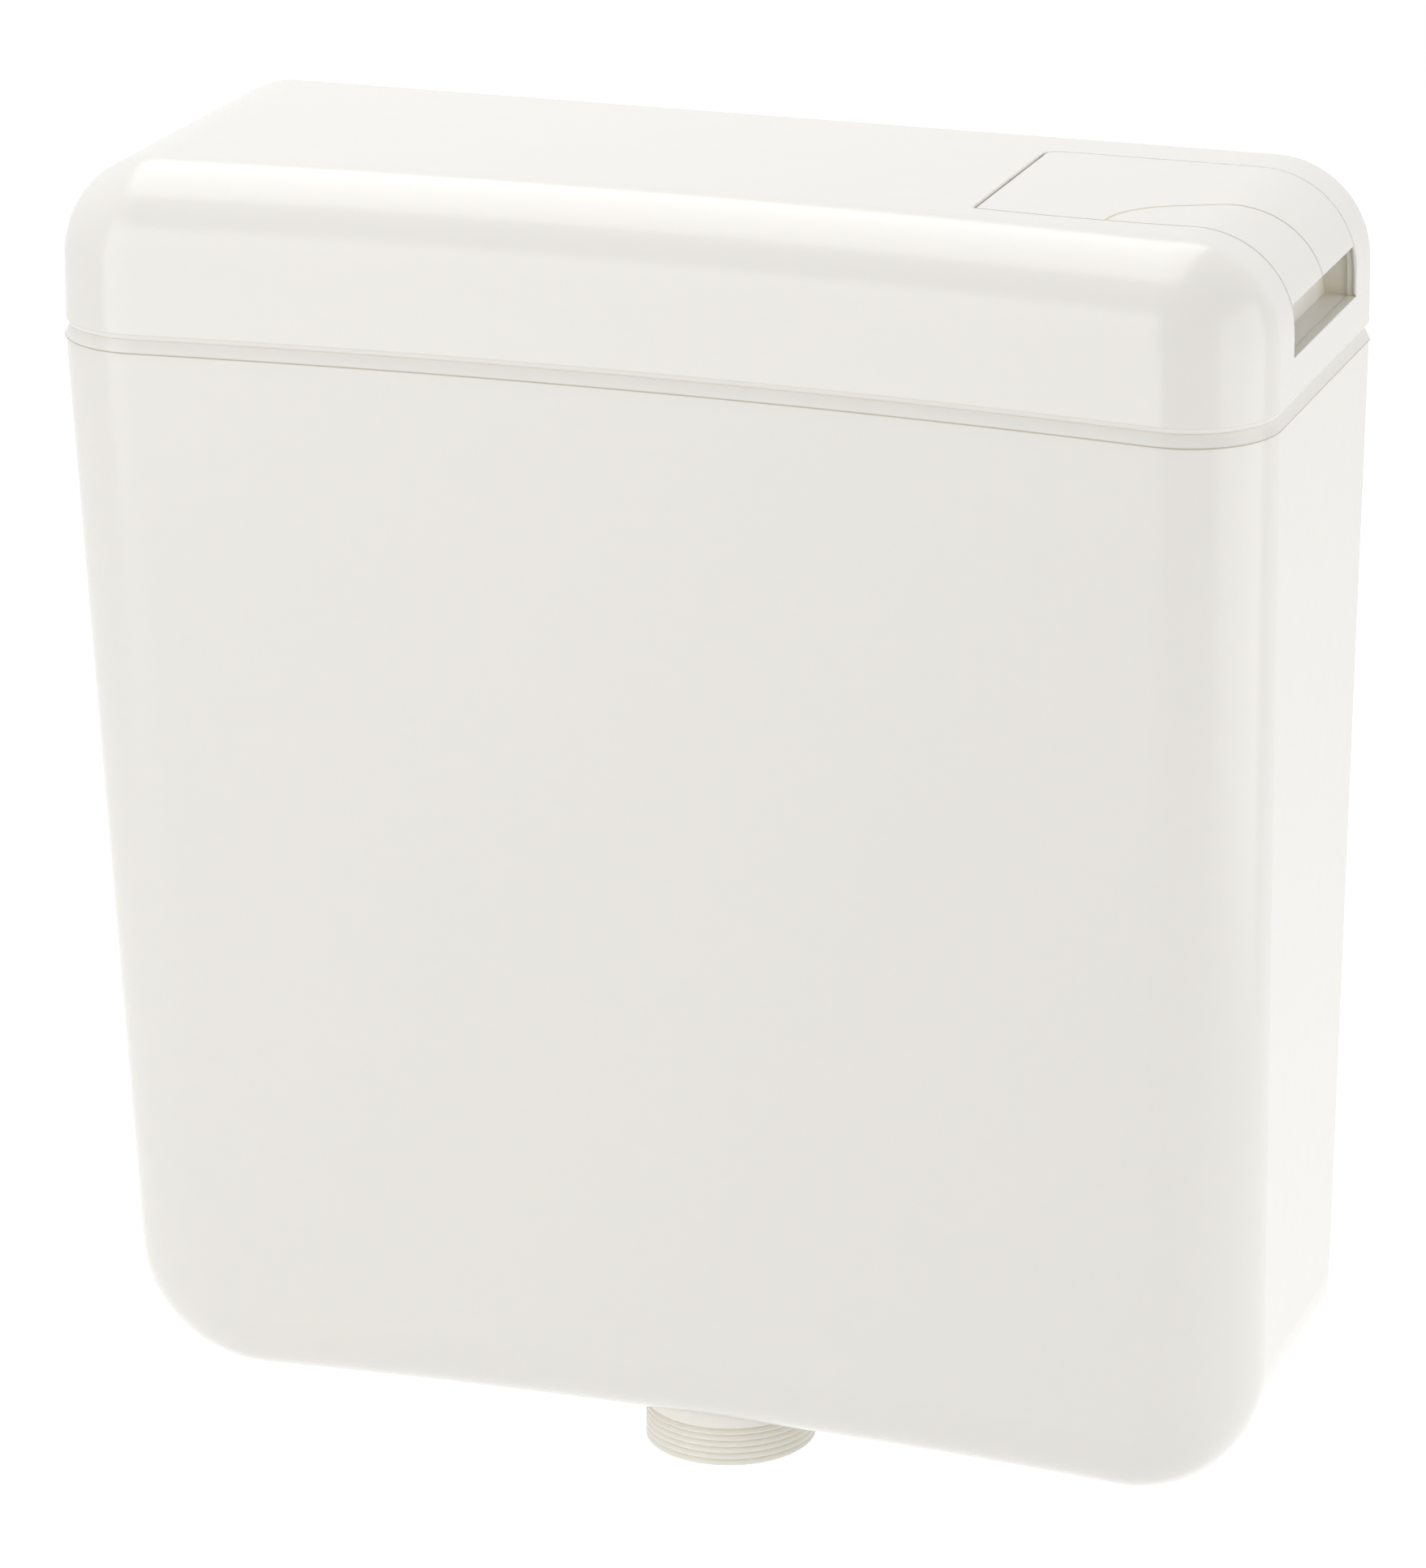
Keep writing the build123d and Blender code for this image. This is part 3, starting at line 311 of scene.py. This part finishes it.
def rubberSkin(name, colour, shade, values):
    # matt rubber with a little dust, which is rougher where it is paler
    paint = Paint(name)
    dust = paint.noise(values["dustScale"], values["dustDetail"], values["dustRoughness"])
    grain = paint.noise(values["grain"], values["grainDetail"])
    return paint.finish(
        paint.mix(dust, colour, shade),
        values["roughness"] + values["roughnessSpread"] * (dust - 0.5),
        paint.bump(grain, values["grainDepth"], values["grainStrength"]),
        IOR=values["refraction"],
    )


foamFinish = {
    "beadScale": 330.0,
    "seamShare": 0.12,
    "seamColour": linear(205, 205, 203),
    "beadColour": linear(240, 240, 238),
    "roughness": 0.6,
    "seamRoughness": 0.2,
    "seamDepth": 0.0003,
    "seamStrength": 0.7,
    "refraction": 1.45,
}


def beadFoam(name, values):
    # white beads pressed together, with a dark line where they meet
    paint = Paint(name)
    sockets = {"Vector": paint.place(), "Scale": values["beadScale"]}
    edge = paint.node("ShaderNodeTexVoronoi", {"feature": "DISTANCE_TO_EDGE"}, sockets)
    bead = paint.ramp(edge, 0.0, values["seamShare"])
    return paint.finish(
        paint.mix(bead, values["seamColour"], values["beadColour"]),
        values["roughness"] + values["seamRoughness"] * (1 - bead),
        paint.bump(bead, values["seamDepth"], values["seamStrength"]),
        IOR=values["refraction"],
    )


metalFinish = {
    "lineScale": 60.0,
    "lineDetail": 4,
    "lineRoughness": 0.6,
    "lineShade": 0.78,
    "roughness": 0.26,
    "roughnessSpread": 0.2,
    "evenShare": 0.4,
    "lineDepth": 0.00003,
    "lineStrength": 0.5,
}


def turnedMetal(name, colour, stretch, values):
    # fine tool marks, squeezed along the axis with the largest stretch
    paint = Paint(name)
    lines = paint.noise(values["lineScale"], values["lineDetail"], values["lineRoughness"], stretch)
    return paint.finish(
        paint.mix(lines, colour, tuple(values["lineShade"] * c for c in colour)),
        values["roughness"] + values["roughnessSpread"] * (lines - values["evenShare"]),
        paint.bump(lines, values["lineDepth"], values["lineStrength"]),
        Metallic=1.0,
    )


leverFinish = {**shellFinish, "cloudScale": 21.0}
# the housing's painted recess shade is paler than the shell's
housingFinish = {**shellFinish, "roughness": 0.3, "recessShade": linear(240, 230, 206)}
pureWhite, coolWhite = linear(232, 232, 230), linear(222, 223, 222)
finishes = {
    "casing": glossyShell("castShell", shellFinish),
    "lever": glossyShell("leverShell", leverFinish),
    "housing": glossyShell("housingShell", housingFinish),
    "foam": beadFoam("linerFoam", foamFinish),
    "fitting_white": satinMoulding("whiteMoulding", pureWhite, coolWhite, satinFinish),
    "fitting_grey": satinMoulding("greyMoulding", linear(168, 172, 176), linear(156, 160, 165), satinFinish),
    "fitting_blue": satinMoulding("blueMoulding", linear(40, 92, 160), linear(34, 80, 146), satinFinish),
    "seal": rubberSkin("blackRubber", (0.018, 0.018, 0.02), (0.05, 0.05, 0.05), rubberFinish),
    "silicone": rubberSkin("redSilicone", linear(160, 52, 40), linear(142, 44, 34), rubberFinish),
    "steel": turnedMetal("turnedSteel", (0.58, 0.58, 0.6), (1, 1, 30), metalFinish),
    "brass": turnedMetal("turnedBrass", linear(196, 160, 92), (30, 1, 1), metalFinish),
    "float_foam": satinMoulding("floatFoam", linear(214, 216, 219), linear(204, 207, 211), floatFinish),
}
slotOf = {part["node"]: part["material_slot"] for part in frame["record"]["subparts"]}
for name, node in frame["nodes"].items():
    node.data.materials.clear()
    node.data.materials.append(finishes[slotOf[name]])
print("finishes given to", len(slotOf), "nodes")


# the lid's outside as a line across it sees it, from the frame's boxes, in metres
tankHigh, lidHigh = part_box("tank")[1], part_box("lid")[1]
lidShape = {
    "seam": tankHigh.z,
    "top": lidHigh.z,
    "halfWidth": tankHigh.x,
    "draft": 0.0146,  # how far the side leans in for each metre up
    "corner": 0.032,
    "slotFloor": tankHigh.z + 0.019,
    "slotTop": tankHigh.z + 0.0356,
    "sideSteps": 6,
}


def lidLine(planX, planY, low, values):
    # a line drawn on the lid: flat on the top, round the corner, and on down the side where low is lower
    lean = math.atan(values["draft"])
    cornerZ = values["top"] - values["corner"]
    cornerX = values["halfWidth"] - values["draft"] * (cornerZ - values["seam"])
    cornerX -= values["corner"] / math.cos(lean)
    endX = cornerX + values["corner"] * math.cos(lean)
    turn = np.arcsin(np.clip((planX - cornerX) / values["corner"], 0, 1))
    z = cornerZ + values["corner"] * np.cos(turn)
    over = (planX < endX) & (z > low)
    x, y, z, turn = planX[over], planY[over], z[over], turn[over]
    acrossX, acrossY = -np.gradient(y), np.gradient(x)
    length = np.hypot(acrossX, acrossY)
    across = np.stack([acrossX / length, acrossY / length, 0 * x], 1)
    points = np.stack([x, y, z], 1)
    normals = np.stack([np.sin(turn), 0 * x, np.cos(turn)], 1)
    if low < cornerZ and planX[-1] > endX:
        steps = values["sideSteps"]
        downZ = np.linspace(cornerZ, low, steps)
        downX = values["halfWidth"] - values["draft"] * (downZ - values["seam"])
        side = np.stack([downX, np.full(steps, y[-1]), downZ], 1)
        points = np.concatenate([points, side])
        normals = np.concatenate([normals, np.tile([math.cos(lean), 0, math.sin(lean)], (steps, 1))])
        across = np.concatenate([across, np.tile([0, np.sign(across[-1, 1]), 0], (steps, 1))])
    return points, across, normals


def closedProfile(profile, side, depth):
    # the profile's points (aside, below) on one side of the line, 1 or -1, closed at the depth
    points = [(side * aside, below) for aside, below in profile]
    return points + [(points[-1][0], depth), (points[0][0], depth)]


def sweepProfile(name, line, profile):
    # every profile point (aside, below) carried along the line: point + aside x across - below x normal
    points, across, normals = line
    shape = np.asarray(profile)
    grid = points[:, None, :] + shape[None, :, 0, None] * across[:, None, :]
    grid = grid - shape[None, :, 1, None] * normals[:, None, :]
    rows, columns = grid.shape[:2]
    corner = np.arange(rows * columns).reshape(rows, columns)
    here, there = corner[:-1], corner[1:]
    quads = np.stack([here, np.roll(here, -1, 1), np.roll(there, -1, 1), there], -1).reshape(-1, 4)
    ends = [corner[0][::-1].tolist(), corner[-1].tolist()]
    mesh = bpy.data.meshes.new(name)
    mesh.from_pydata(grid.reshape(-1, 3).tolist(), [], quads.tolist() + ends)
    work = bmesh.new()
    work.from_mesh(mesh)
    bmesh.ops.recalc_face_normals(work, faces=work.faces)
    work.to_mesh(mesh)
    work.free()
    mesh.polygons.foreach_set("use_smooth", np.ones(len(mesh.polygons), bool))
    piece = bpy.data.objects.new(name, mesh)
    bpy.context.scene.collection.objects.link(piece)
    return piece


def arcThrough(first, second, third, count):
    # points on the circle through three points: its centre is as far from each of them
    a, b, c = (np.array(point, float) for point in (first, second, third))
    sides = 2 * np.array([b - a, c - a])
    centre = np.linalg.solve(sides, [b @ b - a @ a, c @ c - a @ a])
    radius = np.linalg.norm(a - centre)
    angles = np.unwrap([math.atan2(*(point - centre)[::-1]) for point in (a, b, c)])
    turn = np.linspace(angles[0], angles[2], count)
    return centre[0] + radius * np.cos(turn), centre[1] + radius * np.sin(turn)


def quarterRound(centre, radius, startTurn, count):
    # a quarter of a circle, from its starting turn on
    turn = np.linspace(startTurn, startTurn + math.pi / 2, count)
    return centre[0] + radius * np.cos(turn), centre[1] + radius * np.sin(turn)


# the opening's rounded rim, which narrows the gap round the levers, and a floor in its left gap, in darker
# colours that are painted shade
stripShape = {
    "left": 0.0996,
    "back": 0.0284,
    "frontLeft": -0.0543,
    "frontMid": (0.155, -0.0567),
    "frontRight": (0.2048, -0.0522),
    "backCorner": 0.006,
    "frontCorner": 0.0015,
    "leftSteps": 12,
    "cornerSteps": 10,
    "longSteps": 90,
    "rim": [(0.0, 0.00002), (0.00014, 0.00004), (0.00026, 0.00012), (0.00035, 0.00026), (0.00039, 0.0005)],
    "rimDepth": 0.0012,
    "gutter": [(0.0, 0.0010), (0.0003, 0.0013), (0.0008, 0.00135), (0.00115, 0.0012)],
    "gutterDepth": 0.0019,
    "gutterInsets": (0.002, 0.006),  # from the strip's front and back
    "gutterSteps": 30,
    # painted shade: the gap floor's two colours are darker than the shell, for the shade deep in the gap
    "gutterShadeColours": (linear(206, 199, 184), linear(198, 190, 176)),
}


def stripHalf(values, toFront):
    # the opening's plan edge, from the middle of its left side to the lid's right side
    left, mid = values["left"], (values["frontLeft"] + values["back"]) / 2
    count, cornerCount = values["longSteps"], values["cornerSteps"]
    if toFront:
        radius = values["frontCorner"]
        frontStart = (left, values["frontLeft"])
        runX, runY = arcThrough(frontStart, values["frontMid"], values["frontRight"], count)
        beyond = runX > left + radius
        runX, runY = runX[beyond], runY[beyond]
        centre = (left + radius, values["frontLeft"] + radius)
        bendX, bendY = quarterRound(centre, radius, math.pi, cornerCount)
    else:
        radius = values["backCorner"]
        runX = np.linspace(left + radius, values["frontRight"][0], count)[1:]
        runY = np.full(len(runX), values["back"])
        centre = (left + radius, values["back"] - radius)
        bendX, bendY = (half[::-1] for half in quarterRound(centre, radius, math.pi / 2, cornerCount))
    startY = np.linspace(mid, bendY[0], values["leftSteps"])[:-1]
    planX = np.concatenate([np.full(len(startY), left), bendX, runX])
    planY = np.concatenate([startY, bendY, runY])
    return planX, planY


def buildOpeningRim(values):
    for name, toFront, side in (("frontRim", True, 1), ("rearRim", False, -1)):
        line = lidLine(*stripHalf(values, toFront), lidShape["slotFloor"], lidShape)
        rim = sweepProfile(name, line, closedProfile(values["rim"], side, values["rimDepth"]))
        rim.data.materials.append(finishes["casing"])
        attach(rim, "cover")
    frontInset, backInset = values["gutterInsets"]
    count = values["gutterSteps"]
    gutterY = np.linspace(values["frontLeft"] + frontInset, values["back"] - backInset, count)
    line = lidLine(np.full(count, values["left"]), gutterY, lidShape["seam"], lidShape)
    gutter = sweepProfile("leftGutter", line, closedProfile(values["gutter"], -1, values["gutterDepth"]))
    gutter.data.materials.append(satinMoulding("gutterShade", *values["gutterShadeColours"], gapFinish))
    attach(gutter, "cover")


buildOpeningRim(stripShape)
print("opening's rim built")


# the parting line between the two levers, a narrow bead on the larger one
partingShape = {
    "start": (0.1441, -0.0567),
    "bend": (0.1504, -0.0390),
    "knee": (0.163, -0.0304),
    "run": (0.183, -0.0206),
    "end": (0.2068, -0.0119),
    "bendSteps": 24,
    "runSteps": 70,
    "bead": [(-0.00018, 0.0004), (-0.00014, 0.00022), (0.0, 0.00014), (0.0002, 0.0001), (0.0006, 0.00003)],
    "beadDepth": 0.0012,
    "colours": (linear(222, 214, 150), linear(212, 206, 150)),
}


def buildPartingBead(values):
    bendX, bendY = arcThrough(values["start"], values["bend"], values["knee"], values["bendSteps"])
    runX, runY = arcThrough(values["knee"], values["run"], values["end"], values["runSteps"])
    planX, planY = np.concatenate([bendX[:-1], runX]), np.concatenate([bendY[:-1], runY])
    line = lidLine(planX, planY, lidShape["slotTop"], lidShape)
    bead = sweepProfile("partingBead", line, closedProfile(values["bead"], 1, values["beadDepth"]))
    bead.data.materials.append(satinMoulding("partingTint", *values["colours"], gapFinish))
    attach(bead, "full_lever")


buildPartingBead(partingShape)
print("parting bead built")


# each lamp: its place, the place it points at, its width and height, and its power in watts
studio = {
    "floorDrop": 0.32,
    "floorReach": 9.0,
    "floorColour": (0.82, 0.82, 0.81),
    "floorShade": 0.98,
    "floorScale": 3,
    "floorDetail": 3,
    "floorGlow": 0.66,
    "worldStrength": 0.42,
    "lamps": [
        ("softboxAbove", (-0.4, 0.4, 1.75), (-0.4, 0.1, 0.4), (1.3, 1.9), 16),
        ("frontPanel", (-0.75, -1.4, 0.5), (0, 0, 0.3), (1.2, 1.6), 11.2),
        ("rightPanel", (1.15, -0.1, 0.35), (0.1, 0.0, 0.3), (1.25, 1.2), 6.3),
    ],
}


def buildFloor(values):
    reach = values["floorReach"]
    corners = [(-reach, -reach), (reach, -reach), (reach, reach), (-reach, reach)]
    mesh = bpy.data.meshes.new("floor")
    mesh.from_pydata([(x, y, -values["floorDrop"]) for x, y in corners], [], [(0, 1, 2, 3)])
    floor = bpy.data.objects.new("floor", mesh)
    bpy.context.scene.collection.objects.link(floor)
    paint = Paint("floorPale")
    shade = tuple(values["floorShade"] * c for c in values["floorColour"])
    clouds = paint.noise(values["floorScale"], values["floorDetail"])
    colour = paint.mix(clouds, values["floorColour"], shade)
    base = paint.node("ShaderNodeBsdfDiffuse", {}, {"Color": colour})
    glow = paint.node("ShaderNodeEmission", {}, {"Strength": values["floorGlow"] * paint.lookedAt()})
    both = paint.node("ShaderNodeAddShader", {}, {0: base, 1: glow})
    paint.node("ShaderNodeOutputMaterial", {}, {"Surface": both})
    mesh.materials.append(paint.material)


def buildSky(values):
    sky = Paint("studioSky", bpy.data.worlds.new("studio"))
    dim = sky.node("ShaderNodeBackground", {}, {"Color": (1, 1, 1, 1), "Strength": values["worldStrength"]})
    white = sky.node("ShaderNodeBackground", {}, {"Color": (1, 1, 1, 1), "Strength": 1.0})
    both = sky.node("ShaderNodeMixShader", {}, {0: sky.lookedAt(), 1: dim, 2: white})
    sky.node("ShaderNodeOutputWorld", {}, {"Surface": both})
    bpy.context.scene.world = sky.material


def hangLamps(values):
    for name, place, target, (width, height), power in values["lamps"]:
        lamp = bpy.data.lights.new(name, "AREA")
        lamp.shape = "RECTANGLE"
        lamp.size, lamp.size_y = width, height
        lamp.energy = power
        holder = bpy.data.objects.new(name, lamp)
        holder.visible_camera = False
        holder.location = place
        holder.rotation_euler = (Vector(target) - Vector(place)).to_track_quat("-Z", "Y").to_euler()
        bpy.context.scene.collection.objects.link(holder)


buildFloor(studio)
buildSky(studio)
hangLamps(studio)
bpy.context.scene.view_settings.view_transform = "Standard"
print("studio built")
